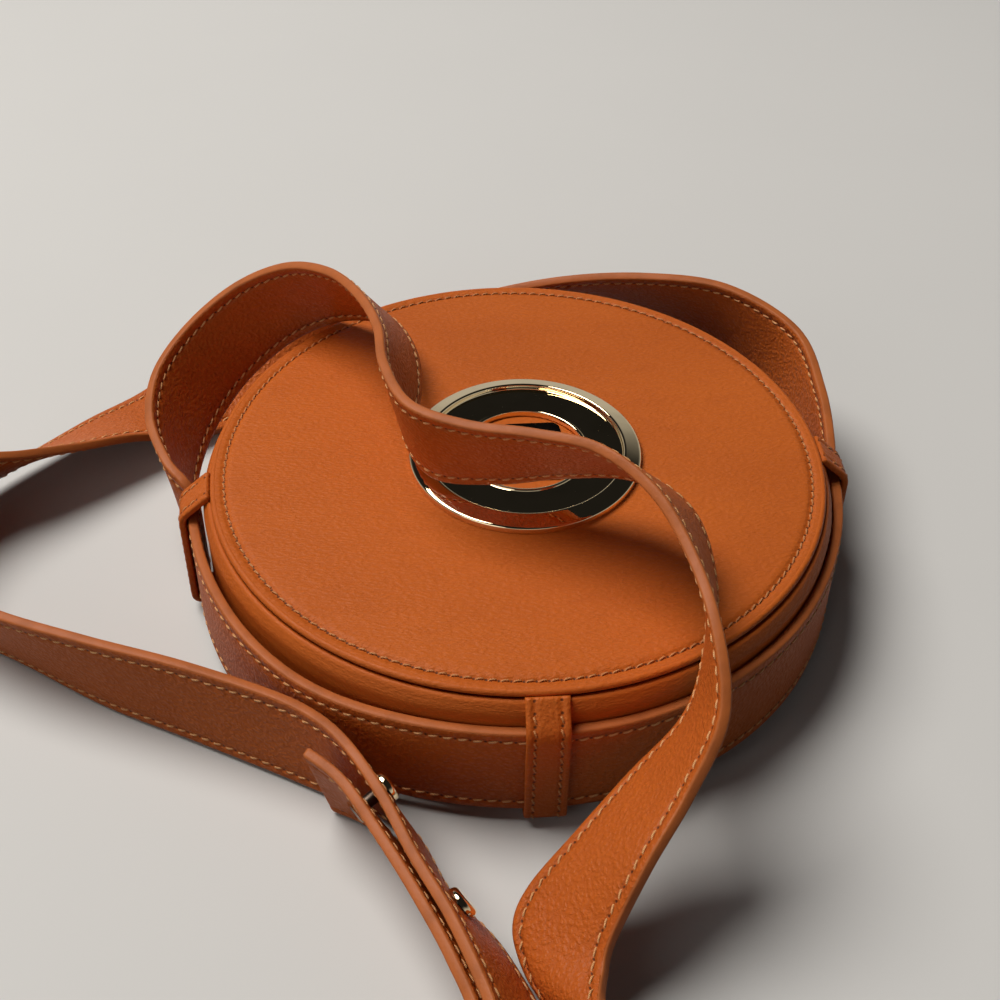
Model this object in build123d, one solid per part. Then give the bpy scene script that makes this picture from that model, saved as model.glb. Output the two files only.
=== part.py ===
from build123d import *
import math
import os

# Round leather sling bag with its belt: two discs, a gusset with a zip, and one long belt.
#
# Frame: origin at the centre of the back panel, on the face the bag lies on. +Z is the way the
# front panel faces, -Y is the keeper loop opposite the zip. Everything is in millimetres, and
# values named as angles, or noted so, are in degrees round from +X.

os.makedirs("parts", exist_ok=True)

# ---- driving dimensions ------------------------------------------------------------------
BAG_R = 100.0            # bag in plan, without the gusset's bulge
DEPTH = 50.0             # back face to front face
LEATHER_T = 1.6          # panels and gusset
BOARD_T = 1.2            # stiffening board behind each panel
BOARD_INSET = 0.6        # panel's edge to the edge of its board and lining
WALL_BOARD_T = 0.9       # thinner board behind the gusset
LINING_T = 0.8
LAY_GAP = 0.1            # between layers of the wall
ROLL_R = 1.2             # rolled seam, radius of its section
SEAM_GAP = 0.2           # between a rolled seam and the pieces sewn into it
WALL_GAP = 0.3           # between a rolled seam and the gusset's edge
BULGE = 1.2              # how far the gusset stands out past BAG_R
ROLL_INSET = 1.3         # how far the rolled seams stay inside BAG_R
LIP_H = 4.0              # height over which the gusset leans in to a rolled seam
LIP_IN = 1.6             # how far it leans in

STRAP_W = 34.0
STRAP_T = 3.2
STRAP_Z = 22.0           # mid-height of the belt where it runs round the gusset
STRAP_CLEAR = 0.4        # belt to gusset, and belt to its keeper loops
STRAP_PER_STATION = 4    # straight pieces between two stations of the belt

LOOP_W = 12.6            # keeper loops
LOOP_T = 2.2
LOOP_UNDER = 1.0         # top of a loop's front leg below the front face
LOOP_CLEAR = 0.7         # that top to the rolled seam
LOOP_SHOULDER = 0.8      # straight part above the belt, before the slant
LOOP_FOOT = 2.5          # height of its end, where it is sewn in

ZIP_RUN_OUT, ZIP_RUN_IN = 10.0, 6.0    # teeth past the slider when open and closed, degrees
ZIP_SLOT = 6.8           # gap between the two leather strips
ZIP_SLOT_CLEAR = 0.3     # end tabs to those strips
ZIP_GUSSET_FROM, ZIP_GUSSET_TO = 4.0, 176.0
TAPE_END_ANGLE = 0.5     # the tapes stop this short of the gusset's ends
STOP_HALF_ANGLE = 0.7    # half of a stop's length
STOP_GAP_ANGLE = 0.5     # row of teeth to the middle of a stop
TAB_END_ANGLE = 0.3      # end tab to the gusset's end
TAB_STOP_ANGLE = 1.4     # row of teeth to an end tab
ROW_GAP = 1.6            # gap between the two rows, in which the slider's post runs
TOOTH_H = 2.4            # tooth size across the zip
TOOTH_L = 1.5            # tooth size along the zip
TOOTH_PITCH = 3.0
TOOTH_D = 2.6            # tooth size through the wall
TOOTH_SUNK = 0.2         # teeth below the wall's outer face
TAPE_W = 10.0
TAPE_T = 0.6

SLIDER_AT = 167.0        # slider's place at rest, degrees
SLIDER_TRAVEL = 140.0    # degrees
SLIDER_HALF = 3.2        # half of its length, degrees
SLIDER_W = 8.4
PLATE_T = 1.3
PLATE_BITE = 0.1         # how far the post goes into each plate
POST_W = 1.0
POST_ANGLE = 2.0         # the post's length along the zip
RUN_CLEAR = 0.35         # slider to everything it runs past
LUG_T = 1.2
LUG_HALF = 0.9           # degrees
PIN_R = 0.7
PIN_CLEAR = 0.06
PULL_L = 14.0
PULL_T = 1.5
PULL_W = 6.0
PULL_NECK = 4.0          # from the pin to where the pull widens
PULL_HOLE_R = 1.4
PULL_HOLE_FROM_END = 3.0
PULL_CORNER_R = 1.5
EYE_R = 1.3
EYE_W = 4.0
LUG_CLEAR = 0.2
LINING_MARGIN = 1.0      # lining's slot past the slider's path

RING_X, RING_Y = 2.3, 1.7    # the ring's middle, a little off the panel's
RING_R = 37.6
RING_H = 4.0
RING_STEP_R = 30.0
RING_STEP_SLOPE = 0.8    # how far the step leans out
RING_STEP_H = 2.2
RING_IN_R = 19.2
RING_LIP_W = 1.1
RING_LIP_H = 2.8
RING_BEVEL = 2.0
INLAY_T = 1.0
INLAY_CLEAR = 0.2
BAR_L, BAR_W, BAR_T = 19.4, 27.8, 0.8
BAR_X = 2.7              # the bar's middle, to the right of the ring's
BAR_CORNER_R = 3.0
RIVETS = 4
RIVET_R = 1.2
RIVET_CIRCLE_R = 33.6
RIVET_CLEAR = 0.15
RIVET_HEAD_R = 1.8
RIVET_HEAD_T = 0.5
WASHER_R = 3.5
WASHER_T = 0.6

STUD_FROM_TIP = (37.0, 80.0)       # along the belt from its outer tip
STUD_RISE = 4.5          # above the belt's middle line
STUD_CAP_R = 4.8
STUD_CAP_T = 2.2
STUD_CAP_ROUND = 1.6
STUD_POST_R = 2.0
STUD_FOOT_R = 3.6
STUD_FOOT_T = 0.8
STUD_CLEAR = 0.1
STUD_BORE_EXTRA = 4.0    # each bore goes this far past the layers
STUD_SEAT = 0.4          # cap to belt, whose face twists a little there
STUD_FOOT_SEAT = 0.75    # foot to belt, which is not quite square to the post there

POCKET_L, POCKET_W, POCKET_T = 112.0, 72.0, 0.8
POCKET_CORNER_R = 14.0

# Radius and depth of the bag that the belt's stations are written for. They belong to that
# table and stay as they are when BAG_R and DEPTH change.
STATIONS_FOR = (100.0, 50.0)

# ---- sizes that follow -------------------------------------------------------------------
ROLL_CENTRE_R = BAG_R - ROLL_R - ROLL_INSET
PANEL_R = ROLL_CENTRE_R - ROLL_R - SEAM_GAP
GUSSET_R = BAG_R + BULGE
GUSSET_IN = GUSSET_R - LEATHER_T
SEAM_Z = 2 * ROLL_R + SEAM_GAP + WALL_GAP      # gusset edge above the back face
ROLL_Z = ROLL_R + SEAM_GAP
ZIP_Z = DEPTH / 2
TAPE_OUT = GUSSET_IN - LAY_GAP
TAPE_IN = TAPE_OUT - TAPE_T
BOARD_OUT = GUSSET_IN - LAY_GAP
BOARD_IN = BOARD_OUT - WALL_BOARD_T
LINING_OUT = BOARD_IN - LAY_GAP
LINING_IN = LINING_OUT - LINING_T
TOOTH_OUT = GUSSET_R - TOOTH_SUNK
TOOTH_IN = TOOTH_OUT - TOOTH_D
ZIP_FROM = SLIDER_AT - SLIDER_TRAVEL - ZIP_RUN_OUT
ZIP_TO = SLIDER_AT + ZIP_RUN_IN
SLIDER_IN = TOOTH_IN - RUN_CLEAR               # outer face of the plate inside the bag
SLIDER_OUT = GUSSET_R + RUN_CLEAR              # inner face of the plate outside the bag
PIVOT_R = SLIDER_OUT + PLATE_T + RUN_CLEAR + EYE_R
LUG_TOP = PIVOT_R + EYE_R
LINING_SLOT = SLIDER_W + 2 * RUN_CLEAR + LINING_MARGIN
BAND_R = GUSSET_R + STRAP_CLEAR + STRAP_T / 2  # middle of the belt's thickness on the gusset
BAND_LOW, BAND_HIGH = STRAP_Z - STRAP_W / 2, STRAP_Z + STRAP_W / 2
PLAN_SCALE = BAG_R / STATIONS_FOR[0]

# ---- belt --------------------------------------------------------------------------------
# Each station is one low or left edge point and the point across from it, (x, y, z) each.
# The run over the face goes from the left keeper loop, up behind the bag, over the ring and
# down past the front to a turn on the floor.
OVER_FACE = [
    ((-109, 8, 8), (-109, 6, 42)),
    ((-111, 19, 11), (-115, 14, 44)),
    ((-110, 40, 15), (-122, 34, 46)),
    ((-104, 59, 21), (-121, 55, 50)),
    ((-92, 74, 30), (-110, 69, 59)),
    ((-75, 81, 42), (-93, 75, 70)),
    ((-57, 78, 52), (-75, 71, 80)),
    ((-40, 65, 59), (-60, 58, 86)),
    ((-32, 46, 60), (-50, 40, 89)),
    ((-31, 25, 58), (-44, 21, 90)),
    ((-35, 4, 57), (-42, 1, 90)),
    ((-27, -15, 57), (-35, -19, 90)),
    ((-8, -22, 60), (-19, -31, 91)),
    ((12, -26, 65), (0, -40, 94)),
    ((32, -34, 70), (17, -50, 96)),
    ((46, -49, 69), (30, -66, 94)),
    ((50, -68, 61), (38, -84, 88)),
    ((46, -89, 54), (42, -107, 82)),
    ((38, -105, 44), (42, -126, 70)),
    ((22, -115, 32), (33, -138, 54)),
    ((7, -127, 24), (21, -151, 42)),
    ((-7, -136, 13), (12, -161, 26)),
    ((-12, -145, 8), (9, -168, 21)),
    ((-10, -156, 5), (7, -179, 23)),
    ((-2, -171, 3), (10, -192, 28)),
    ((7, -188, 2), (14, -202, 32)),
    ((11, -207, 1), (13, -211, 35)),
    ((2, -221, 1), (0, -220, 35)),
    ((-14, -222, 1), (-17, -219, 34)),
    ((-21, -207, 1), (-28, -206, 34)),
]
# From the right keeper loop round behind the bag, out along the floor to the left, round a
# turn and back past the front to the lap joint.
ROUND_BACK = [
    ((106, 13, 7), (107, 11, 41)),
    ((107, 43, 10), (110, 39, 44)),
    ((103, 73, 14), (107, 69, 48)),
    ((88, 99, 19), (85, 91, 52)),
    ((63, 116, 21), (56, 101, 51)),
    ((33, 125, 20), (26, 106, 47)),
    ((3, 129, 14), (-4, 108, 40)),
    ((-26, 127, 8), (-33, 105, 33)),
    ((-53, 116, 2), (-62, 115, 34)),
    ((-78, 95, 2), (-92, 117, 24)),
    ((-103, 78, 3), (-120, 106, 13)),
    ((-118, 67, 9), (-138, 95, 7)),
    ((-134, 58, 17), (-154, 82, 6)),
    ((-150, 47, 23), (-170, 68, 5)),
    ((-167, 37, 29), (-185, 53, 5)),
    ((-184, 28, 35), (-196, 36, 4)),
    ((-196, 12, 36), (-201, 16, 3)),
    ((-197, -8, 34), (-196, -4, 1)),
    ((-188, -26, 33), (-182, -19, 1)),
    ((-163, -43, 34), (-157, -36, 1)),
    ((-134, -56, 34), (-132, -53, 1)),
    ((-105, -68, 35), (-105, -68, 1)),
    ((-78, -81, 35), (-78, -83, 1)),
    ((-65, -90, 35), (-64, -91, 1)),
    ((-56, -101, 35), (-51, -98, 2)),
    ((-47, -118, 35), (-38, -112, 3)),
    ((-39, -137, 34), (-29, -132, 3)),
    ((-30, -156, 33), (-17, -148, 3)),
    ((-23, -175, 32), (-8, -167, 3)),
    ((-20, -185, 31), (-4, -176, 3)),
]
# Where the belt's middle runs round the gusset: degrees, and how far it stands off BAND_R.
ROUND_GUSSET = [
    (-181, 2.2), (-176, 2.0), (-171, 1.8), (-163, 1.5), (-154, 1.6), (-145, 2.1), (-136, 2.6),
    (-128, 2.6), (-120, 1.8), (-111, 0.7), (-102, 0.1), (-93, 0.0), (-87, 0.0), (-76, 0.0),
    (-64, 0.0), (-52, 0.0), (-40, 0.0), (-28, 0.0), (-16, 0.6), (-6, 1.6), (0, 1.8), (5, 2.0),
]
# The lap joint's layers spread towards its free tip. Each row is the distance from the outer
# tip, then how far apart the layers' middles lie at the top edge and at the bottom edge.
LAP_STATIONS = [
    (100.0, 10.4, 4.6),
    (84.0, 7.2, 4.4),
    (62.0, 5.6, 4.4),
    (42.0, 4.6, 4.4),
    (21.0, 4.6, 4.6),
    (2.0, 5.4, 5.4),
]

# The belt is one piece of leather. Its nodes are stretches of it, from the inner tip on, each
# with the number of gaps between stations that it takes.
BELT_NODE_COUNTS = [
    ("belt_lap_inner", 5),
    ("belt_front_turn", 8),
    ("belt_over_face", 23),
    ("belt_round_gusset", 21),
    ("belt_behind", 11),
    ("belt_left_turn", 12),
    ("belt_lap_outer", 7),
]
LOOP_ANGLES = {"left": -176.8, "right": 0.4, "bottom": -90.0}
LOOP_STANDOFF = {"left": 2.2, "right": 1.95, "bottom": 0.0}


def polar(radius, degrees, z=0.0):
    a = math.radians(degrees)
    return Vector(radius * math.cos(a), radius * math.sin(a), z)


def follow_bag(point):
    """A station's point, moved with the bag's radius in plan and with its depth in height."""
    x, y, z = point
    depth = STATIONS_FOR[1]
    rise = (DEPTH - depth) * min(z / depth, 1.0)
    return Vector(x * PLAN_SCALE, y * PLAN_SCALE, z + rise)


def across(low, high):
    """Both edge points at the belt's real width, lifted where they would pass the floor."""
    middle = (low + high) / 2
    half = (high - low).normalized() * (STRAP_W / 2)
    lean = STRAP_T / 2 * math.hypot(half.X, half.Y) / (STRAP_W / 2)
    lowest = middle.Z - abs(half.Z) - lean
    lift = Vector(0, 0, max(0.0, -lowest))
    return middle - half + lift, middle + half + lift


def between(a, b, c, d, t):
    """Catmull-Rom curve from b to c."""
    return (
        b * 2
        + (c - a) * t
        + (a * 2 - b * 5 + c * 4 - d) * t**2
        + (b * 3 - a - c * 3 + d) * t**3
    ) / 2


def smooth(stations):
    """The stations with straight pieces put in between, as pairs of edge points."""
    ends = [stations[0]] + stations + [stations[-1]]
    out = []
    for i in range(len(stations) - 1):
        quad = ends[i:i + 4]
        for k in range(STRAP_PER_STATION):
            t = k / STRAP_PER_STATION
            low = between(*[s[0] for s in quad], t)
            high = between(*[s[1] for s in quad], t)
            out.append(across(low, high))
    out.append(stations[-1])
    return out


def frames(edges):
    """Middle, direction across, normal and distance along for each pair of edge points."""
    middles = [(low + high) / 2 for low, high in edges]
    out = []
    run = 0.0
    for i, (low, high) in enumerate(edges):
        before, after = middles[max(i - 1, 0)], middles[min(i + 1, len(edges) - 1)]
        along = (after - before).normalized()
        cross = (high - low).normalized()
        if i:
            run += (middles[i] - middles[i - 1]).length
        out.append((middles[i], cross, along.cross(cross).normalized(), run))
    return out


def frame_at(belt, distance):
    """The belt's middle, direction across and normal at a distance along it."""
    for (m0, c0, n0, s0), (m1, c1, n1, s1) in zip(belt, belt[1:]):
        if s0 <= distance <= s1:
            t = (distance - s0) / (s1 - s0)
            cross = (c0 * (1 - t) + c1 * t).normalized()
            return m0 * (1 - t) + m1 * t, cross, (n0 * (1 - t) + n1 * t).normalized()
    return belt[-1][:3]


def ribbon(belt):
    """Solid of a stretch of belt, ruled from section to section."""
    sections = []
    for middle, cross, normal, _ in belt:
        w, t = cross * (STRAP_W / 2), normal * (STRAP_T / 2)
        corners = [middle - w - t, middle + w - t, middle + w + t, middle - w + t]
        sections.append(make_face(Polyline(*corners, close=True)))
    return loft(sections, ruled=True)


def stations_round_gusset():
    out = []
    for degrees, standoff in ROUND_GUSSET:
        radius = BAND_R + standoff
        out.append((polar(radius, degrees, BAND_LOW), polar(radius, degrees, BAND_HIGH)))
    return out


def belt_edges():
    """Stations over the face, round the gusset and round the back, as three lists."""
    over = [across(follow_bag(low), follow_bag(high)) for low, high in OVER_FACE]
    back = [across(follow_bag(low), follow_bag(high)) for low, high in ROUND_BACK]
    return over, stations_round_gusset(), back


def lap_layer(outer):
    """Stations of the belt's inner end, laid beside its outer end from the free tip back."""
    length = outer[-1][3]
    out = []
    for from_tip, top_spread, low_spread in LAP_STATIONS:
        middle, cross, normal = frame_at(outer, length - from_tip)
        side = normal if normal.X < 0 else normal * -1
        up = cross if cross.Z > 0 else cross * -1
        half = up * (STRAP_W / 2)
        out.append(across(middle - half + side * low_spread, middle + half + side * top_spread))
    return out


# ---- pieces ------------------------------------------------------------------------------
def disc(radius, z0, z1):
    return Pos(0, 0, z0) * Cylinder(radius, z1 - z0, align=(Align.CENTER, Align.CENTER, Align.MIN))


def arc_wall(r_in, r_out, z0, z1, a0, a1):
    """Wall between two radii and two heights, from angle a0 to a1 in degrees."""
    profile = Polyline((r_in, 0, z0), (r_out, 0, z0), (r_out, 0, z1), (r_in, 0, z1), close=True)
    return Rot(0, 0, a0) * revolve(make_face(profile), Axis.Z, a1 - a0)


def leaning_wall(z0, z1, a0, a1, low_lip=True, high_lip=True):
    """Gusset leather from z0 to z1 that leans in to the rolled seams where it has a lip."""
    outer = [(GUSSET_R - LIP_IN, z0), (GUSSET_R, z0 + LIP_H)] if low_lip else [(GUSSET_R, z0)]
    outer += [(GUSSET_R, z1 - LIP_H), (GUSSET_R - LIP_IN, z1)] if high_lip else [(GUSSET_R, z1)]
    inner = [(radius - LEATHER_T, z) for radius, z in outer[::-1]]
    profile = Polyline(*[(radius, 0, z) for radius, z in outer + inner], close=True)
    return Rot(0, 0, a0) * revolve(make_face(profile), Axis.Z, a1 - a0)


def rolled_seam(z):
    section = Plane.XZ * Pos(ROLL_CENTRE_R, z) * Circle(ROLL_R)
    return revolve(section, Axis.Z, 360)


def rivet_holes(radius, z0, z1):
    out = []
    for k in range(RIVETS):
        place = polar(RIVET_CIRCLE_R, (k + 0.5) * 360 / RIVETS)
        out.append(Pos(RING_X + place.X, RING_Y + place.Y, 0) * disc(radius, z0, z1))
    return out


def with_rivet_holes(shape, z0, z1):
    for hole in rivet_holes(RIVET_R + RIVET_CLEAR, z0, z1):
        shape -= hole
    return shape


def panels():
    front = DEPTH - LEATHER_T
    board = front - BOARD_T
    lining = board - LINING_T
    inner_r = PANEL_R - BOARD_INSET
    back_board = LEATHER_T + BOARD_T
    return {
        "back_panel": disc(PANEL_R, 0, LEATHER_T),
        "back_board": disc(inner_r, LEATHER_T, back_board),
        "back_lining": disc(inner_r, back_board, back_board + LINING_T),
        "front_panel": with_rivet_holes(disc(PANEL_R, front, DEPTH), front, DEPTH),
        "front_board": with_rivet_holes(disc(inner_r, board, front), board, front),
        "front_lining": with_rivet_holes(disc(inner_r, lining, board), lining, board),
        "back_rolled_seam": rolled_seam(ROLL_Z),
        "front_rolled_seam": rolled_seam(DEPTH - ROLL_Z),
        "slip_pocket": slip_pocket(back_board + LINING_T),
    }


def slip_pocket(z):
    patch = Pos(0, 0, z) * Box(POCKET_L, POCKET_W, POCKET_T, align=(Align.CENTER, Align.CENTER, Align.MIN))
    return fillet(patch.edges().filter_by(Axis.Z), POCKET_CORNER_R)


def gusset():
    low, high = SEAM_Z, DEPTH - SEAM_Z
    z0, z1 = ZIP_Z - ZIP_SLOT / 2, ZIP_Z + ZIP_SLOT / 2
    lower_from, lower_to = ZIP_GUSSET_TO, ZIP_GUSSET_FROM + 360
    lip_low, lip_high = low + LIP_H, high - LIP_H
    lining = arc_wall(LINING_IN, LINING_OUT, lip_low, lip_high, 0, 360)
    slot = (ZIP_Z - LINING_SLOT / 2, ZIP_Z + LINING_SLOT / 2)
    lining -= arc_wall(LINING_IN - 1, LINING_OUT + 1, *slot, ZIP_GUSSET_FROM, ZIP_GUSSET_TO)
    return {
        "gusset": leaning_wall(low, high, lower_from, lower_to),
        "gusset_board": arc_wall(BOARD_IN, BOARD_OUT, lip_low, lip_high, lower_from, lower_to),
        "gusset_lining": lining,
        "zip_strip_front": leaning_wall(z1, high, ZIP_GUSSET_FROM, ZIP_GUSSET_TO, low_lip=False),
        "zip_strip_back": leaning_wall(low, z0, ZIP_GUSSET_FROM, ZIP_GUSSET_TO, high_lip=False),
    }


def tooth_row(z0, z1, first):
    """Teeth of one row as separate small blocks, the first one at an angle in degrees."""
    pitch = math.degrees(TOOTH_PITCH / GUSSET_R)
    half = math.degrees(TOOTH_L / GUSSET_R) / 2
    one = arc_wall(TOOTH_IN, TOOTH_OUT, z0, z1, -half, half)
    count = int((ZIP_TO - ZIP_FROM - pitch) / pitch)
    return Compound(children=[Rot(0, 0, first + k * pitch) * one for k in range(count)])


def zip_parts():
    row = ROW_GAP / 2
    tape = row + TOOTH_H
    pitch = math.degrees(TOOTH_PITCH / GUSSET_R)
    start = ZIP_FROM + pitch / 2
    tab_half = ZIP_SLOT / 2 - ZIP_SLOT_CLEAR
    stop = arc_wall(TOOTH_IN, TOOTH_OUT, ZIP_Z - tape, ZIP_Z + tape, -STOP_HALF_ANGLE, STOP_HALF_ANGLE)
    stops = [Rot(0, 0, a) * stop for a in (ZIP_FROM - STOP_GAP_ANGLE, ZIP_TO + STOP_GAP_ANGLE)]
    tab_ends = [(ZIP_GUSSET_FROM + TAB_END_ANGLE, ZIP_FROM - TAB_STOP_ANGLE),
                (ZIP_TO + TAB_STOP_ANGLE, ZIP_GUSSET_TO - TAB_END_ANGLE)]
    tabs = [arc_wall(GUSSET_IN, GUSSET_R, ZIP_Z - tab_half, ZIP_Z + tab_half, *ends) for ends in tab_ends]
    ends = (ZIP_GUSSET_FROM + TAPE_END_ANGLE, ZIP_GUSSET_TO - TAPE_END_ANGLE)
    return {
        "zip_tape_front": arc_wall(TAPE_IN, TAPE_OUT, ZIP_Z + tape, ZIP_Z + tape + TAPE_W, *ends),
        "zip_tape_back": arc_wall(TAPE_IN, TAPE_OUT, ZIP_Z - tape - TAPE_W, ZIP_Z - tape, *ends),
        "zip_teeth_front": tooth_row(ZIP_Z + row, ZIP_Z + tape, start),
        "zip_teeth_back": tooth_row(ZIP_Z - tape, ZIP_Z - row, start + pitch / 2),
        "zip_stops": Compound(children=stops),
        "zip_end_tabs": Compound(children=tabs),
    }


def pivot():
    return polar(PIVOT_R, SLIDER_AT, ZIP_Z)


def slider_parts():
    a0, a1 = SLIDER_AT - SLIDER_HALF, SLIDER_AT + SLIDER_HALF
    z0, z1 = ZIP_Z - SLIDER_W / 2, ZIP_Z + SLIDER_W / 2
    outer = arc_wall(SLIDER_OUT, SLIDER_OUT + PLATE_T, z0, z1, a0, a1)
    inner = arc_wall(SLIDER_IN - PLATE_T, SLIDER_IN, z0, z1, a0, a1)
    post_in, post_out = SLIDER_IN - PLATE_BITE, SLIDER_OUT + PLATE_BITE
    post = arc_wall(post_in, post_out, ZIP_Z - POST_W / 2, ZIP_Z + POST_W / 2, a1 - POST_ANGLE, a1)
    body = outer + inner + post
    lug_in = EYE_W / 2 + LUG_CLEAR
    for side in (-1, 1):
        lug_low, lug_high = sorted((ZIP_Z + side * lug_in, ZIP_Z + side * (lug_in + LUG_T)))
        lug = arc_wall(SLIDER_OUT + PLATE_T / 2, LUG_TOP, lug_low, lug_high, -LUG_HALF, LUG_HALF)
        body += Rot(0, 0, SLIDER_AT) * lug
    pin_half = lug_in + LUG_T
    at = Pos(pivot()) * Rot(0, 0, SLIDER_AT)
    pin = at * Cylinder(PIN_R, 2 * pin_half)
    body -= at * Cylinder(PIN_R, 2 * pin_half)
    return {"zip_slider": body, "pull_pin": pin, "zip_pull": zip_pull(at)}


def zip_pull(at):
    """Flat pull with an eye round the pin, lying back along the zip from the slider."""
    eye = Cylinder(EYE_R, EYE_W)
    neck = Pos(0, -PULL_NECK / 2 - PIN_R, 0) * Box(PULL_T, PULL_NECK, EYE_W)
    tab_l = PULL_L - PULL_NECK
    tab = Pos(0, -PULL_NECK - tab_l / 2, 0) * Box(PULL_T, tab_l, PULL_W)
    tab = fillet(tab.edges().filter_by(Axis.X), PULL_CORNER_R)
    hole = Pos(0, PULL_HOLE_FROM_END - PULL_L, 0) * Rot(0, 90, 0) * Cylinder(PULL_HOLE_R, 4 * PULL_T)
    return at * (eye + neck + tab - hole - Cylinder(PIN_R + PIN_CLEAR, 2 * EYE_W))


def ring_parts():
    z = DEPTH
    top = z + RING_H
    profile = Polyline(
        (RING_IN_R, 0, z),
        (RING_R, 0, z),
        (RING_R, 0, top - RING_BEVEL),
        (RING_R - RING_BEVEL, 0, top),
        (RING_STEP_R + RING_STEP_SLOPE, 0, top),
        (RING_STEP_R, 0, z + RING_STEP_H),
        (RING_IN_R + RING_LIP_W, 0, z + RING_STEP_H),
        (RING_IN_R + RING_LIP_W, 0, z + RING_LIP_H),
        (RING_IN_R, 0, z + RING_LIP_H),
        close=True,
    )
    ring = revolve(make_face(profile), Axis.Z, 360)
    bar = Pos(BAR_X, 0, z + INLAY_T) * Box(BAR_L, BAR_W, BAR_T, align=(Align.CENTER, Align.CENTER, Align.MIN))
    under = z - LEATHER_T - BOARD_T - LINING_T
    washer_low = under - WASHER_T
    rivets = rivet_holes(RIVET_R, washer_low, z)
    heads = rivet_holes(RIVET_HEAD_R, washer_low - RIVET_HEAD_T, washer_low)
    washers = [a - b for a, b in zip(rivet_holes(WASHER_R, washer_low, under),
                                     rivet_holes(RIVET_R + RIVET_CLEAR, washer_low, under))]
    at = Pos(RING_X, RING_Y, 0)
    return {
        "ring": at * ring,
        "ring_inlay": at * disc(RING_IN_R - INLAY_CLEAR, z, z + INLAY_T),
        "ring_bar": at * fillet(bar.edges().filter_by(Axis.Z), BAR_CORNER_R),
        "ring_rivets": Compound(children=[a + b for a, b in zip(rivets, heads)]),
        "ring_washers": Compound(children=washers),
    }


def keeper_loop(degrees, standoff):
    """Loop of leather sewn into both seams, with the belt passing through it."""
    face = BAND_R + standoff + STRAP_T / 2 + STRAP_CLEAR
    outer = face + LOOP_T
    low, high = BAND_LOW - STRAP_CLEAR, BAND_HIGH + STRAP_CLEAR
    seam = GUSSET_R + SEAM_GAP
    top_r, top = BAG_R - ROLL_INSET + LOOP_CLEAR, DEPTH - LOOP_UNDER
    profile = Polyline(
        (seam, 0, low - LOOP_T),
        (outer, 0, low - LOOP_T),
        (outer, 0, high + LOOP_SHOULDER),
        (top_r, 0, top),
        (top_r + LOOP_CLEAR, 0, top - LOOP_FOOT),
        (face, 0, high),
        (face, 0, low),
        (seam, 0, low),
        close=True,
    )
    slab = extrude(make_face(profile), LOOP_W / 2, both=True)
    return Rot(0, 0, degrees) * slab


def stud_parts(outer):
    """Caps, posts and feet of the two studs that hold the lap joint."""
    caps, posts, feet, bores = [], [], [], []
    length = outer[-1][3]
    for from_tip in STUD_FROM_TIP:
        middle, cross, normal = frame_at(outer, length - from_tip)
        side = normal if normal.X < 0 else normal * -1
        spread = spread_at(from_tip)
        up = cross if cross.Z > 0 else cross * -1
        plane = Plane(origin=middle + up * STUD_RISE, x_dir=cross, z_dir=side)
        near = -STRAP_T / 2
        far = spread + STRAP_T / 2 + STUD_FOOT_SEAT
        caps.append(plane * (Pos(0, 0, near - STUD_SEAT - STUD_CAP_T) * stud_cap()))
        posts.append(plane * disc(STUD_POST_R, near - STUD_SEAT, far))
        feet.append(plane * disc(STUD_FOOT_R, far, far + STUD_FOOT_T))
        bore_low, bore_high = near - STUD_BORE_EXTRA, far + STUD_BORE_EXTRA
        bores.append(plane * disc(STUD_POST_R + STUD_CLEAR, bore_low, bore_high))
    nodes = {"stud_caps": Compound(children=caps), "stud_posts": Compound(children=posts),
             "stud_feet": Compound(children=feet)}
    return nodes, bores


def spread_at(from_tip):
    """Spacing of the lap joint's layers at a distance from the belt's outer tip."""
    for (d0, top0, low0), (d1, top1, low1) in zip(LAP_STATIONS, LAP_STATIONS[1:]):
        if d1 <= from_tip <= d0:
            t = (d0 - from_tip) / (d0 - d1)
            return (top0 + low0) / 2 * (1 - t) + (top1 + low1) / 2 * t
    return LAP_STATIONS[-1][1]


def stud_cap():
    """Low dome, flat side up."""
    blank = disc(STUD_CAP_R, 0, STUD_CAP_T)
    return fillet(blank.edges().group_by(Axis.Z)[0], STUD_CAP_ROUND)


def belt_parts():
    over, round_bag, back = belt_edges()
    lap_gaps = BELT_NODE_COUNTS[-1][1]
    outer = frames(smooth(back[-lap_gaps - 1:]))
    whole = frames(smooth(lap_layer(outer) + over[::-1] + round_bag + back))
    spans = {}
    start = 0
    for name, gaps in BELT_NODE_COUNTS:
        end = start + gaps * STRAP_PER_STATION
        spans[name] = ribbon(whole[start:end + 1])
        start = end
    studs, bores = stud_parts(outer)
    for name in ("belt_lap_inner", "belt_lap_outer"):
        for bore in bores:
            spans[name] -= bore
    spans.update(studs)
    print("belt length, mm:", round(whole[-1][3]))
    return spans


def main():
    nodes = {}
    for build in (panels, gusset, zip_parts, slider_parts, ring_parts, belt_parts):
        nodes.update(build())
    for name, degrees in LOOP_ANGLES.items():
        nodes["keeper_loop_" + name] = keeper_loop(degrees, LOOP_STANDOFF[name])
    for name, shape in nodes.items():
        export_step(shape, "parts/" + name + ".step")
    print("nodes:", len(nodes))


main()
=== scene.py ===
# %% [markdown]
# Round leather sling bag, dressed over its CAD frame
#
# The bag is two leather discs and a wall between them, with a rolled seam round each disc, a zip
# in the wall and one long belt that wraps the wall, crosses the face and comes back to itself.
# The CAD model says where everything is and how it moves. This file makes how it looks: leather
# with its grain, threads as real stitches, painted edges and polished metal.
#
# Blender works in metres here. Sizes are written in millimetres, as a maker gives them, and each
# mesh is scaled once, as it is made.

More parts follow.
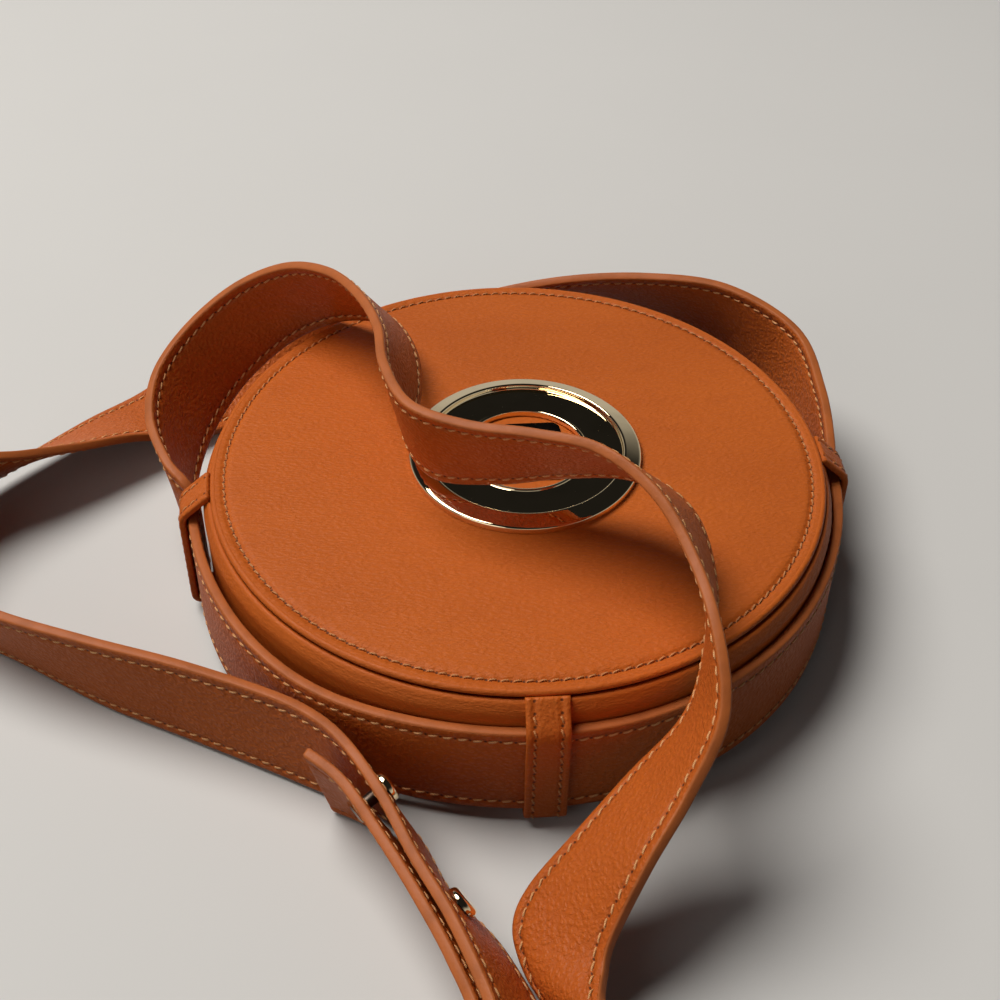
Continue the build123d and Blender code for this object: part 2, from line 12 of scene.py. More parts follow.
# %% Load the frame
import math
import bmesh
import bpy
import numpy as np
from mathutils import Matrix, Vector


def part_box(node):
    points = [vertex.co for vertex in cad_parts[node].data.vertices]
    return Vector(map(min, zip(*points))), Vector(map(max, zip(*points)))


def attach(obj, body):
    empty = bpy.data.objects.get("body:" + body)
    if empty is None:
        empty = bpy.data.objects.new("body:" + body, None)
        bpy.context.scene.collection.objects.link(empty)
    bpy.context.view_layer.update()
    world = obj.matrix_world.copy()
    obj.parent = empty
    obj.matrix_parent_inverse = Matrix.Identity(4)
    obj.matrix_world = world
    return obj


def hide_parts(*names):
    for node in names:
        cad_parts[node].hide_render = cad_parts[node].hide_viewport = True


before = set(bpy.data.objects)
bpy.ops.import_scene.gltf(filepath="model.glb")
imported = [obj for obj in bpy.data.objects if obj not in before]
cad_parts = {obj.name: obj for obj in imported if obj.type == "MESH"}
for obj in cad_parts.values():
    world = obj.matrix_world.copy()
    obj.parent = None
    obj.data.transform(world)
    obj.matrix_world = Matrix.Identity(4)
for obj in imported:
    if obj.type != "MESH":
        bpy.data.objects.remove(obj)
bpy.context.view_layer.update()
MM = 0.001

# %% [markdown]
# Sizes read from the frame
#
# A piece that replaces a CAD node has to stay where the node is. So the radii and heights come
# from the nodes' own boxes, and only what the CAD leaves out, such as stitches, is typed here.

# %% Sizes


def reach(node):
    """A round node's outer radius, its lowest and its highest point, in millimetres."""
    low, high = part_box(node)
    return high.x / MM, low.z / MM, high.z / MM


PANEL_R, FRONT_LOW, FRONT = reach("front_panel")
BACK, BACK_HIGH = reach("back_panel")[1:]
SEAM_R, SEAM_LOW, SEAM_HIGH = reach("front_rolled_seam")
WALL_LOW, WALL_HIGH = reach("gusset")[1:]
WALL_R = -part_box("gusset")[0].y / MM
WALL_T = 1.6
STRIP_SPLIT = reach("zip_strip_back")[2], reach("zip_strip_front")[1]
RING_LOW, INLAY_LOW, INLAY_HIGH = reach("ring")[1], *reach("ring_inlay")[1:]


def round_node(node):
    """A round node's middle, and its radius, seen from above."""
    low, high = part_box(node)
    return (low + high).xy / 2 / MM, (high.x - low.x) / 2 / MM


RING_AT, RING_R = round_node("ring")
INLAY_R = round_node("ring_inlay")[1]
PITCH, PANEL_SEAM_PITCH = 4.2, 3.5
THREAD_R, PANEL_THREAD_R = 0.34, 0.3
STITCH_L, PANEL_STITCH_L = 3.5, 2.8
print(f"panel radius {PANEL_R:.1f} mm, wall radius {WALL_R:.1f} mm, depth {FRONT - BACK:.1f} mm")

# %% [markdown]
# One mesh helper for nearly everything
#
# A disc, a wall, a belt and a loop are all grids of points: a section, repeated along a line or
# round an axis. Making them from arrays keeps every face a quad and leaves no loose points. The
# ends are closed where the real piece is solid.

# %% Grids to meshes


def grid_faces(rows, cols, ring_rows, ring_cols):
    """Quads of a grid of points, as rows of point numbers."""
    r = np.arange(rows if ring_rows else rows - 1)[:, None]
    c = np.arange(cols if ring_cols else cols - 1)[None, :]
    r1, c1 = (r + 1) % rows, (c + 1) % cols
    corners = [r * cols + c, r * cols + c1, r1 * cols + c1, r1 * cols + c]
    return np.stack(np.broadcast_arrays(*corners), -1).reshape(-1, 4)


def mesh_object(name, points, faces):
    """An object at the origin whose mesh is in metres."""
    mesh = bpy.data.meshes.new(name)
    mesh.from_pydata((np.asarray(points, float) * MM).tolist(), [], [list(map(int, f)) for f in faces])
    mesh.validate()
    mesh.polygons.foreach_set("use_smooth", [True] * len(mesh.polygons))
    made = bpy.data.objects.new(name, mesh)
    bpy.context.scene.collection.objects.link(made)
    return made


def from_grid(name, grid, ring_rows=False, ring_cols=True, ends=True, lay=None):
    """A piece from points in rows and columns. lay is (along, across, through) for each point."""
    rows, cols = grid.shape[:2]
    faces = grid_faces(rows, cols, ring_rows, ring_cols).tolist()
    if ends and not ring_rows:
        faces += [list(range(cols))[::-1], list(range((rows - 1) * cols, rows * cols))]
    made = mesh_object(name, grid.reshape(-1, 3), faces)
    if lay is not None:
        stored = made.data.attributes.new("lay", "FLOAT_VECTOR", "POINT")
        stored.data.foreach_set("vector", np.asarray(lay, np.float32).ravel())
    outward(made)
    return made


def outward(piece):
    """Turns a closed piece inside out if its faces point inwards."""
    mesh = piece.data
    mesh.calc_loop_triangles()
    corners = np.array([[mesh.vertices[i].co for i in t.vertices] for t in mesh.loop_triangles])
    volume = np.einsum("ij,ij->i", corners[:, 0], np.cross(corners[:, 1], corners[:, 2])).sum()
    if volume < 0:
        mesh.flip_normals()


def spin(profile, degrees=(0, 360), steps=360, ripple=None, middle=(0, 0)):
    """Grid of a profile of (radius, height) rows turned round an upright axis. ripple gives (dr, dz)."""
    whole = degrees[1] - degrees[0] >= 360
    turn = np.radians(np.linspace(*degrees, steps, endpoint=not whole))
    r, z = np.array(profile, float).T
    radius = r[None, :] + np.zeros((steps, 1))
    height = z[None, :] + np.zeros((steps, 1))
    if ripple:
        dr, dz = ripple(turn[:, None], radius, height)
        radius, height = radius + dr, height + dz
    x, y = radius * np.cos(turn)[:, None] + middle[0], radius * np.sin(turn)[:, None] + middle[1]
    return np.stack([x, y, height], -1)


def dress(piece, material, stands_for=()):
    """Gives a piece its material and slot, seats it on the bag and hides the CAD nodes it stands for."""
    piece.data.materials.append(material)
    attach(piece, "bag")
    if stands_for:
        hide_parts(*stands_for)
    print(f"{piece.name}: {len(piece.data.vertices)} points")
    return piece


# %% [markdown]
# Shader maths as plain expressions
#
# A material is a graph of nodes, and writing the graph by hand hides the idea. Here a small class
# wraps a socket, so that 1 - mask or height * 0.5 adds the nodes. Numbers go through Math nodes
# and vectors through Vector Math, because a Math node would turn a colour grey.

# %% Sockets that calculate


class Value:
    """One output of a shader node, on which Python's operators work."""

    def __init__(self, recipe, socket):
        self.recipe, self.socket = recipe, socket

    def work(self, operation, *values):
        plain = all(v.socket.type == "VALUE" for v in values if isinstance(v, Value))
        kind = "ShaderNodeMath" if plain else "ShaderNodeVectorMath"
        return self.recipe.node(kind, {"operation": operation}, dict(enumerate(values)))

    def __add__(self, other):
        return self.work("ADD", self, other)

    __radd__ = __add__

    def __mul__(self, other):
        return self.work("MULTIPLY", self, other)

    __rmul__ = __mul__

    def __sub__(self, other):
        return self.work("SUBTRACT", self, other)

    def __rsub__(self, other):
        return self.work("SUBTRACT", other, self)

    def __truediv__(self, other):
        return self.work("DIVIDE", self, other)

    def __rtruediv__(self, other):
        return self.work("DIVIDE", other, self)

    def __pow__(self, other):
        return self.work("POWER", self, other)

    def __abs__(self):
        return self.work("ABSOLUTE", self)


# %% A recipe is one material


class Recipe:
    """One material and its node tree. Every node comes from node()."""

    def __init__(self, name, **constants):
        self.material = bpy.data.materials.new(name)
        self.material.use_nodes = True
        self.tree = self.material.node_tree
        self.shader = self.tree.nodes["Principled BSDF"]
        for socket, value in constants.items():
            self.shader.inputs[socket.replace("_", " ")].default_value = value

    def node(self, kind, settings=None, inputs=None, output=0):
        """A node with its settings, then its sockets' values or links, as a Value."""
        made = self.tree.nodes.new(kind)
        for key, value in (settings or {}).items():
            setattr(made, key, value)
        for key, value in (inputs or {}).items():
            socket = made.inputs[key]
            if isinstance(value, Value):
                self.tree.links.new(value.socket, socket)
            elif socket.type == "VECTOR" and isinstance(value, (int, float)):
                socket.default_value = (value,) * 3
            elif socket.type == "RGBA":
                socket.default_value = (*value, 1)
            else:
                socket.default_value = value
        return Value(self, made.outputs[output])

    def place(self, scale=1.0):
        """Where a point lies on the piece, in millimetres times scale."""
        found = self.node("ShaderNodeTexCoord", output="Object")
        return found * tuple(np.broadcast_to(np.array(scale) / MM, 3))

    def lay(self):
        """(along, across, through) as stored on the mesh, in millimetres."""
        return self.node("ShaderNodeAttribute", {"attribute_name": "lay"}, output="Vector")

    def parts(self, vector):
        split = self.node("ShaderNodeSeparateXYZ", inputs={0: vector})
        return [Value(self, s) for s in split.socket.node.outputs]

    def noise(self, where, scale, detail=3.0, roughness=0.5, output="Fac"):
        inputs = {"Vector": where, "Scale": scale, "Detail": detail, "Roughness": roughness}
        return self.node("ShaderNodeTexNoise", inputs=inputs, output=output)

    def cells(self, where, scale, feature):
        inputs = {"Vector": where, "Scale": scale}
        return self.node("ShaderNodeTexVoronoi", {"feature": feature}, inputs)

    def ease(self, value, low, high, to=(0.0, 1.0)):
        """A smooth step from low to high."""
        inputs = {0: value, 1: low, 2: high, 3: to[0], 4: to[1]}
        return self.node("ShaderNodeMapRange", {"interpolation_type": "SMOOTHSTEP"}, inputs)

    def mix(self, a, b, factor):
        return self.node("ShaderNodeMix", {"data_type": "RGBA"}, {0: factor, 6: a, 7: b}, output=2)

    def set(self, **sockets):
        """Links what changes over the surface to the shader."""
        for socket, value in sockets.items():
            self.tree.links.new(value.socket, self.shader.inputs[socket.replace("_", " ")])
        return self.material

    def bump(self, height, distance):
        """A normal from a height from 0 to 1 that stands for a distance in millimetres."""
        inputs = {"Height": height, "Strength": 1.0, "Distance": distance * MM}
        return self.node("ShaderNodeBump", inputs=inputs)


print("shader helpers ready")

# %% [markdown]
# Leather
#
# Full-grain leather is a field of small rounded cells with creases between them, stretched by the
# way the hide was pulled. Each cell is a low dome from a Voronoi texture, warped by noise so that
# no two are alike. The valleys are darker, the tops a little shinier from handling, and the colour
# drifts slowly over a hand's breadth. Needle holes are a pit at the end of each stitch, pressed into
# a shallow groove, and each pit gets painted shade in a near-black brown.

# %% Needle holes
TAN = (0.56, 0.125, 0.015)
TAN_DEEP = (0.36, 0.066, 0.007)
# painted shade: the colour of the inside of a needle hole, which has no real depth
HOLE_SHADE = (0.05, 0.014, 0.006)
HOLE_R = 0.58


def needle_marks(recipe, along, from_row, pitch):
    """1 in each needle hole and 0 away from it, from how far a point lies off the stitched row."""
    step = recipe.node("ShaderNodeMath", {"operation": "FRACT"}, {0: along / pitch + 0.5}) - 0.5
    squared = (step * pitch) ** 2 + from_row**2
    off_hole = recipe.node("ShaderNodeMath", {"operation": "SQRT"}, {0: squared})
    return recipe.ease(off_hole, 0.25, HOLE_R, (1.0, 0.0))


def round_row(recipe, row_r):
    """How far along and off a stitched circle a point lies."""
    x, y, _ = recipe.parts(recipe.place())
    turn = recipe.node("ShaderNodeMath", {"operation": "ARCTAN2"}, {0: y, 1: x})
    radius = recipe.node("ShaderNodeMath", {"operation": "SQRT"}, {0: x * x + y * y})
    return turn * row_r, abs(radius - row_r)


# %% Leather's recipe


def leather(name, cell, depth, stretch=1.0, row=None, pitch=PITCH, edge=None, flat=False,
            gloss=0.18, crease=0.22):
    """Grained leather. cell and depth are the grain's size in millimetres, row is where stitches run."""
    r = Recipe(name, Specular_IOR_Level=gloss)
    where = r.place(stretch)
    warped = where + (r.noise(where, 0.35, 2.0, output="Color") - 0.5) * (cell * 0.9)
    dome = r.ease(r.cells(warped, 1 / cell, "SMOOTH_F1"), 0.1, 0.65, (1.0, 0.0))
    fine = r.ease(r.cells(warped, 2.3 / cell, "F1"), 0.1, 0.7, (1.0, 0.0))
    drift = r.noise(where, 0.018, 3.0)
    mottle = r.noise(where, 0.16, 4.0, 0.6)
    grain = dome * 0.75 + fine * 0.25
    height = grain * (mottle * 0.6 + 0.4)
    shade = r.mix(TAN, TAN_DEEP, r.ease(drift, 0.35, 0.75, (0.0, 0.28)))
    shade = r.mix(shade, TAN_DEEP, (1 - grain) * crease)
    shade = r.mix(shade, TAN_DEEP, r.ease(mottle, 0.45, 0.8, (0.0, 0.18)))
    rough = 0.5 - dome * 0.1 + mottle * 0.12
    if row is not None:
        if flat:
            along, off = round_row(r, row)
        else:
            along, across, _ = r.parts(r.lay())
            off = abs(abs(across) - row)
        holes = needle_marks(r, along, off, pitch)
        # painted shade in each needle hole, which is only a shallow bump pit
        shade = r.mix(shade, HOLE_SHADE, holes * 0.85)
        height = height * (1 - holes) + r.ease(off, 0.2, 1.5, (-0.9, 0.0))
    if edge:
        painted = edge_paint(r)
        worn = r.noise(r.place(), 0.12, 4.0)
        paint = r.mix(edge, tuple(c * 0.82 for c in edge), r.ease(worn, 0.4, 0.75))
        shade = r.mix(shade, paint, painted)
        rough = rough * (1 - painted) + painted * (0.42 + worn * 0.16)
        height = height * (1 - painted * 0.85)
    return r.set(Base_Color=shade, Roughness=rough, Normal=r.bump(height, depth))


def edge_paint(recipe):
    """1 on the painted edge of a strap, where the surface has turned away from its faces."""
    _, across, _ = recipe.parts(recipe.lay())
    return recipe.ease(abs(across), STRAP_EDGE - 0.35, STRAP_EDGE + 0.05)


STRAP_W, STRAP_T = 34.0, 3.2
STRAP_EDGE = STRAP_W / 2 - 0.45
STRAP_ROW = STRAP_W / 2 - 3.6
LOOP_W = 12.6
LOOP_ROW, LOOP_PITCH = LOOP_W / 2 - 2.5, 3.6
PANEL_ROW = PANEL_R - 1.8
PANEL_STITCHES = round(2 * math.pi * PANEL_ROW / PANEL_SEAM_PITCH)
PANEL_PITCH = 2 * math.pi * PANEL_ROW / PANEL_STITCHES
EDGE_TAN = (0.45, 0.12, 0.027)

panel_leather = leather("panel_leather", 1.0, 0.24, (0.6, 1.3, 1.0),
                        row=PANEL_ROW, pitch=PANEL_PITCH, flat=True)
wall_leather = leather("wall_leather", 0.95, 0.15, (0.6, 0.6, 1.6))
belt_leather = leather("belt_leather", 1.25, 0.42, row=STRAP_ROW, edge=EDGE_TAN,
                       gloss=0.24, crease=0.38)
loop_leather = leather("loop_leather", 0.95, 0.2, row=LOOP_ROW, pitch=LOOP_PITCH)
print("leathers:", sum(m.name.endswith("leather") for m in bpy.data.materials))

# %% [markdown]
# Thread, metal, cloth and board
#
# Waxed thread is twisted, so fine slanted lines run round each stitch. Polished plate is nearly a
# mirror, and only faint smears and a very slow ripple keep it from looking computed. The tape and
# the lining are woven, from two crossed waves. The board is grey-brown fibre.

# %% Finishes other than leather


def thread_finish(name, low, high):
    r = Recipe(name, Roughness=0.55)
    twist = r.node("ShaderNodeTexWave", {"bands_direction": "DIAGONAL"},
                   {"Vector": r.place(), "Scale": 0.9, "Distortion": 0.6})
    shade = r.mix(low, high, twist)
    return r.set(Base_Color=shade, Normal=r.bump(twist, 0.08))


def metal(name, colour, roughness):
    r = Recipe(name, Metallic=1.0)
    smear = r.noise(r.place(), 0.07, 4.0, 0.55)
    dust = r.ease(r.cells(r.place(), 0.55, "F1"), 0.02, 0.05, (1.0, 0.0))
    rough = r.ease(smear, 0.45, 0.8, (roughness, roughness * 2.2)) + dust * 0.25
    shade = r.mix(colour, tuple(c * 0.86 for c in colour), r.ease(smear, 0.4, 0.7))
    return r.set(Base_Color=shade, Roughness=rough, Normal=r.bump(smear, 0.02))


def weave(name, colour, threads, depth):
    """Plain weave with so many threads to the millimetre."""
    r = Recipe(name, Roughness=0.85)
    x, y, z = r.parts(r.place(threads * math.pi))
    over = r.node("ShaderNodeMath", {"operation": "SINE"}, {0: x + z}) * 0.5 + 0.5
    under = r.node("ShaderNodeMath", {"operation": "SINE"}, {0: y - z}) * 0.5 + 0.5
    height = over * under
    shade = r.mix(tuple(c * 0.55 for c in colour), colour, height)
    shade = r.mix(shade, colour, r.noise(r.place(), 0.4) * 0.4)
    return r.set(Base_Color=shade, Normal=r.bump(height, depth))


def fibre_board():
    r = Recipe("fibre_board", Roughness=0.9)
    fibre = r.noise(r.place((0.4, 2.2, 1.0)), 1.2, 5.0, 0.7)
    return r.set(Base_Color=r.mix((0.3, 0.2, 0.13), (0.5, 0.38, 0.27), fibre), Normal=r.bump(fibre, 0.1))


thread = thread_finish("thread", (0.42, 0.14, 0.035), (0.7, 0.3, 0.1))
belt_thread = thread_finish("belt_thread", (0.52, 0.21, 0.065), (0.88, 0.47, 0.19))
gold = metal("gold_metal", (0.95, 0.77, 0.49), 0.03)
dark_metal = metal("dark_metal", (0.16, 0.12, 0.1), 0.14)
# painted shade: the stud posts get a dark metal so they look shaded between the belt's layers
shaded_post_metal = metal("shaded_post_metal", (0.09, 0.065, 0.05), 0.4)
tape = weave("zip_tape", (0.2, 0.075, 0.026), 1.6, 0.12)
lining = weave("lining", (0.22, 0.11, 0.06), 2.2, 0.08)
board = fibre_board()
print("materials in all:", len(bpy.data.materials))

# %% [markdown]
# Stitches
#
# Each stitch is a short length of thread that dives into the leather at both ends and lies on it
# in the middle, a little slanted because the needle enters on the skew. Painted stitches look
# painted from the side, so these are tubes, all stitches of a seam in one mesh.

# %% Threads as geometry
THREAD_RINGS, THREAD_SIDES = 6, 6


def sew(name, middles, along, up, slot="leather", length=STITCH_L, radius=THREAD_R, slant=12.0):
    """One tube for each stitch, at its middle, along the seam, lying on the side called up."""
    middles, along, up = (np.asarray(v, float) for v in (middles, along, up))
    along = along / np.linalg.norm(along, axis=1, keepdims=True)
    up = up - along * np.sum(up * along, 1, keepdims=True)
    up = up / np.linalg.norm(up, axis=1, keepdims=True)
    beside = np.cross(up, along)
    skew = math.radians(slant)
    heading = along * math.cos(skew) + beside * math.sin(skew)
    sideways = np.cross(up, heading)
    t = np.linspace(-1, 1, THREAD_RINGS)
    # the ends dive below the leather and grow thinner as they go
    lift = radius * (0.75 - 2.1 * t**4)
    thick = radius * np.sqrt(np.clip(1.15 - t**6, 0.2, 1))
    centre = (middles[:, None, :] + heading[:, None, :] * (t * length / 2)[None, :, None]
              + up[:, None, :] * lift[None, :, None])
    a = np.linspace(0, 2 * math.pi, THREAD_SIDES, endpoint=False)
    ring = (sideways[:, None, None, :] * np.cos(a)[None, None, :, None]
            + up[:, None, None, :] * np.sin(a)[None, None, :, None])
    points = centre[:, :, None, :] + ring * thick[None, :, None, None]
    count, each = len(middles), THREAD_RINGS * THREAD_SIDES
    tube = grid_faces(THREAD_RINGS, THREAD_SIDES, False, True)
    faces = (tube[None] + (np.arange(count) * each)[:, None, None]).reshape(-1, 4).tolist()
    for k in range(count):
        first, last = k * each, (k + 1) * each - THREAD_SIDES
        faces.append(list(range(first, first + THREAD_SIDES))[::-1])
        faces.append(list(range(last, last + THREAD_SIDES)))
    made = mesh_object(name, points.reshape(-1, 3), faces)
    outward(made)
    return dress(made, belt_thread if slot == "belt_leather" else thread)


def circle_of_stitches(radius, z, count, up):
    """Middles, directions and up directions of stitches halfway between the needle holes."""
    a = (np.arange(count) + 0.5) / count * 2 * math.pi
    middles = np.stack([radius * np.cos(a), radius * np.sin(a), np.full(count, z)], 1)
    along = np.stack([-np.sin(a), np.cos(a), np.zeros(count)], 1)
    return middles, along, np.tile([0.0, 0.0, up], (count, 1))


print("a stitch has", THREAD_RINGS * THREAD_SIDES, "points")

# %% [markdown]
# Front and back panels
#
# Each panel is leather over board with a thin pad between, so it crowns slightly and dips where
# it is sewn. Beyond the stitches it runs out over the cord of the rolled seam. The needle pulls it
# down at every hole, which leaves a faint row of puckers. The crown comes from a cloth simulation:
# the leather is held under the ring and along the seam, and air pressure under it lifts the rest
# by less than a millimetre. The lift is then averaged round the disc, because a thin sheet under
# pressure wrinkles more than padded leather does.

# %% Crown a panel by simulation
CROWN = 0.7
HELD_INSIDE, HELD_OUTSIDE = RING_R + RING_AT.length + 1.0, PANEL_R - 5.5
SHEET_ROWS, SHEET_COLS = 44, 150
PRESSURE, STIFFNESS, BENDING = 0.6, 40, 6
SIM_FRAMES = 18
SOFTEN = 14              # how many columns to each side the lift is averaged over


def crown_by_cloth():
    """Height of the padded leather above its held parts, by radius and angle, in millimetres."""
    radii = np.linspace(HELD_INSIDE - 3, HELD_OUTSIDE + 2, SHEET_ROWS)
    turn = np.linspace(0, 2 * math.pi, SHEET_COLS, endpoint=False)
    x, y = radii[:, None] * np.cos(turn), radii[:, None] * np.sin(turn)
    trial = from_grid("trial_sheet", np.stack([x, y, np.zeros_like(x)], -1), ends=False)
    held = trial.vertex_groups.new(name="held")
    keep = [i for i, v in enumerate(trial.data.vertices)
            if not HELD_INSIDE < math.hypot(v.co.x, v.co.y) / MM < HELD_OUTSIDE]
    held.add(keep, 1.0, "REPLACE")
    cloth = trial.modifiers.new("cloth", "CLOTH")
    cloth.settings.vertex_group_mass = "held"
    cloth.settings.use_pressure = True
    cloth.settings.uniform_pressure_force = PRESSURE
    cloth.settings.effector_weights.gravity = 0
    cloth.settings.tension_stiffness = cloth.settings.compression_stiffness = STIFFNESS
    cloth.settings.bending_stiffness = BENDING
    for f in range(1, SIM_FRAMES + 1):
        bpy.context.scene.frame_set(f)
    settled = trial.evaluated_get(bpy.context.evaluated_depsgraph_get()).data
    lift = np.abs(np.array([v.co.z for v in settled.vertices]).reshape(x.shape)) / MM
    lift = sum(np.roll(lift, k, 1) for k in range(-SOFTEN, SOFTEN + 1)) / (2 * SOFTEN + 1)
    bpy.data.objects.remove(trial)
    bpy.context.scene.frame_set(1)
    print(f"cloth lifted the leather by up to {lift.max():.2f} mm, capped at {CROWN} mm")
    return radii, turn, np.minimum(lift, CROWN)


def lift_at(crown, turn, radius):
    """The simulated crown at any angle and radius, or no lift without a crown."""
    if crown is None:
        return 0
    radii, angles, lift = crown
    rows = np.interp(radius, radii, np.arange(len(radii)))
    cols = (turn % (2 * math.pi)) / (2 * math.pi) * len(angles) + 0 * radius
    r0, c0 = np.floor(rows).astype(int), np.floor(cols).astype(int) % len(angles)
    r1, c1 = np.minimum(r0 + 1, len(radii) - 1), (c0 + 1) % len(angles)
    fr, fc = rows - r0, cols - np.floor(cols)
    low = lift[r0, c0] * (1 - fc) + lift[r0, c1] * fc
    high = lift[r1, c0] * (1 - fc) + lift[r1, c1] * fc
    inside = (radius > radii[0]) & (radius < radii[-1])
    return np.where(inside, low * (1 - fr) + high * fr, 0)


# %% Panels
RIM_DIP, ROW_DIP = 0.28, 0.35
PUCKER = 0.2
RIM_FROM, RIM_TO = PANEL_R - 4.6, PANEL_R + 1.1
CENTRE_R = 0.05          # a spun disc's innermost circle, drawn to a point by close_centre
PANEL_STEPS = PANEL_STITCHES * 6     # six to a stitch, so that each pucker is smooth


def dip_at(radius):
    """How far the leather has gone down towards its rim and in the groove of its stitches."""
    rim = np.clip((radius - RIM_FROM) / (RIM_TO - RIM_FROM), 0, 1)
    return RIM_DIP * rim**2 * (3 - 2 * rim) + ROW_DIP * np.exp(-((radius - PANEL_ROW) / 1.5) ** 2)


def panel_ripple(crown, top, side):
    """How the flat disc is shaped: crowned inside, dipped at its rim, and pulled in by each stitch."""
    def shape(turn, radius, height):
        near_row = np.exp(-((radius - PANEL_ROW) / 1.3) ** 2)
        pull = PUCKER * near_row * (0.5 + 0.5 * np.cos(turn * PANEL_STITCHES))
        on_top = np.abs(height - top) < 0.01
        rise = np.where(on_top, lift_at(crown, turn, radius) - dip_at(radius) - pull, 0)
        return 0, side * rise
    return shape


def panel(name, top, under, side, crown, node):
    spread = [CENTRE_R, *np.linspace(6, RIM_FROM - 2, 26), *np.linspace(RIM_FROM, RIM_TO, 18)]
    tucked = top + (under - top) * 0.7
    profile = [(r, top) for r in spread] + [(RIM_TO, tucked), (PANEL_R, under), (CENTRE_R, under)]
    grid = spin(profile, steps=PANEL_STEPS, ripple=panel_ripple(crown, top, side))
    made = from_grid(name, grid, ring_rows=True, ring_cols=False)
    close_centre(made)
    return dress(made, panel_leather, stands_for=[node])


def close_centre(piece, at=(0, 0)):
    """Draws the tiny circles in a spun disc's middle together, so that it has no pinhole."""
    mesh = piece.data
    work = bmesh.new()
    work.from_mesh(mesh)
    middle = [v for v in work.verts
              if math.hypot(v.co.x / MM - at[0], v.co.y / MM - at[1]) < 1.2 * CENTRE_R]
    bmesh.ops.remove_doubles(work, verts=middle, dist=0.12 * MM)
    work.to_mesh(mesh)
    work.free()
    outward(piece)


front_crown = crown_by_cloth()
front_panel = panel("front_panel_leather", FRONT, FRONT_LOW, 1, front_crown, "front_panel")
# The back panel lies on the floor, so it gets no crown: its outer face keeps to the plane, and only its rim
# and stitched row dip inwards.
panel("back_panel_leather", BACK, BACK_HIGH, -1, None, "back_panel")

# %% Stitches round the panels
ROW_SINK = dip_at(PANEL_ROW) - 0.08      # thread's middle below the flat of the panel
for name, z, up in (("front_panel_thread", FRONT - ROW_SINK, 1),
                    ("back_panel_thread", BACK + ROW_SINK, -1)):
    sew(name, *circle_of_stitches(PANEL_ROW, z, PANEL_STITCHES, up),
        length=PANEL_STITCH_L, radius=PANEL_THREAD_R)

# %% [markdown]
# Rolled seams
#
# The panel's edge is turned over a cord and sewn to the wall, which makes a soft roll. It shows
# small waves where each stitch gathers it.

# %% Rolls
ROLL_HALF = (SEAM_HIGH - SEAM_LOW) / 2
ROLL_MID_R = SEAM_R - ROLL_HALF
ROLL_INNER = ROLL_HALF + 0.15
GATHER = 0.1             # how deep the stitches draw the roll in


def roll(name, z, side, node):
    a = np.linspace(0, 2 * math.pi, 28, endpoint=False)
    inward = np.where(np.cos(a) < 0, ROLL_INNER, ROLL_HALF)
    profile = np.stack([ROLL_MID_R + inward * np.cos(a), z + ROLL_HALF * np.sin(a)], 1)

    def gather(turn, radius, height):
        flank = np.clip((ROLL_MID_R - radius) / ROLL_HALF, 0, 1) ** 2
        wave = 0.5 - 0.5 * np.cos(turn * PANEL_STITCHES)
        return flank * GATHER * (1.6 * wave - 1), side * flank * GATHER * (wave - 1)

    made = from_grid(name, spin(profile, steps=PANEL_STEPS, ripple=gather), ring_rows=True)
    return dress(made, wall_leather, stands_for=[node])


roll("front_roll", (SEAM_LOW + SEAM_HIGH) / 2, 1, "front_rolled_seam")
back_seam = reach("back_rolled_seam")
roll("back_roll", (back_seam[1] + back_seam[2]) / 2, -1, "back_rolled_seam")

# %% [markdown]
# The wall
#
# Between the rolls runs the gusset, a strip of leather that leans in to each roll and puffs out
# just under it, where the belt doesn't hold it. The far half is split along its middle by the zip,
# and both strips have a row of stitches beside the teeth.

# %% Wall sections
PUFF, PUFF_H = 0.6, 8.0  # how far the wall puffs out, and over what height from each roll
LIP_IN = 1.6             # how far it leans in to the roll
SWELLS = (0.12, 9, 0.7), (0.09, 23, 2.1)     # how deep, how many round the bag, and from what angle
WALL_STEPS = 520


def wall_profile(low, high, lip_low, lip_high):
    """Closed section of the wall, from its inside up and back down its outside."""
    z = np.linspace(high, low, 40)
    out = np.zeros_like(z)
    for end, on in ((high, lip_high), (low, lip_low)):
        if on:
            share = np.clip(np.abs(z - end) / PUFF_H, 0, 1)
            out += PUFF * np.sin(math.pi * share) ** 2 - LIP_IN * (1 - share) ** 2
    outer = WALL_R + out
    return [*zip(outer[::-3] - WALL_T, z[::-3]), *zip(outer, z)]


def creased(turn, radius, height):
    """Slow swells round the wall, strongest where it puffs out."""
    swell = sum(deep * np.sin(turn * count + first) for deep, count, first in SWELLS)
    return swell * np.clip((radius - WALL_R) / PUFF, 0, 1), 0


def wall(name, low, high, degrees, lips, node):
    grid = spin(wall_profile(low, high, *lips), degrees, WALL_STEPS, creased)
    return dress(from_grid(name, grid), wall_leather, stands_for=[node])


ZIP_END = 4.0            # the zip strips end this many degrees from the bag's two sides
STRIPS = ZIP_END, 180 - ZIP_END
BELOW_ZIP, ABOVE_ZIP = STRIP_SPLIT
wall("wall_lower", WALL_LOW, WALL_HIGH, (STRIPS[1], 360 + ZIP_END), (True, True), "gusset")
wall("wall_zip_front", ABOVE_ZIP, WALL_HIGH, STRIPS, (False, True), "zip_strip_front")
wall("wall_zip_back", WALL_LOW, BELOW_ZIP, STRIPS, (True, False), "zip_strip_back")

# %% Stitches beside the zip
ZIP_ROW, ZIP_ROW_SINK = 1.7, 0.12        # row to the strip's edge, and the thread's middle below the wall


def arc_of_stitches(z, degrees):
    count = round(math.radians(degrees[1] - degrees[0]) * WALL_R / PITCH)
    a = np.radians(np.linspace(*degrees, count))
    out = np.stack([np.cos(a), np.sin(a), np.zeros(count)], 1)
    middles = out * (WALL_R - ZIP_ROW_SINK) + [0, 0, z]
    return middles, np.stack([-np.sin(a), np.cos(a), np.zeros(count)], 1), out


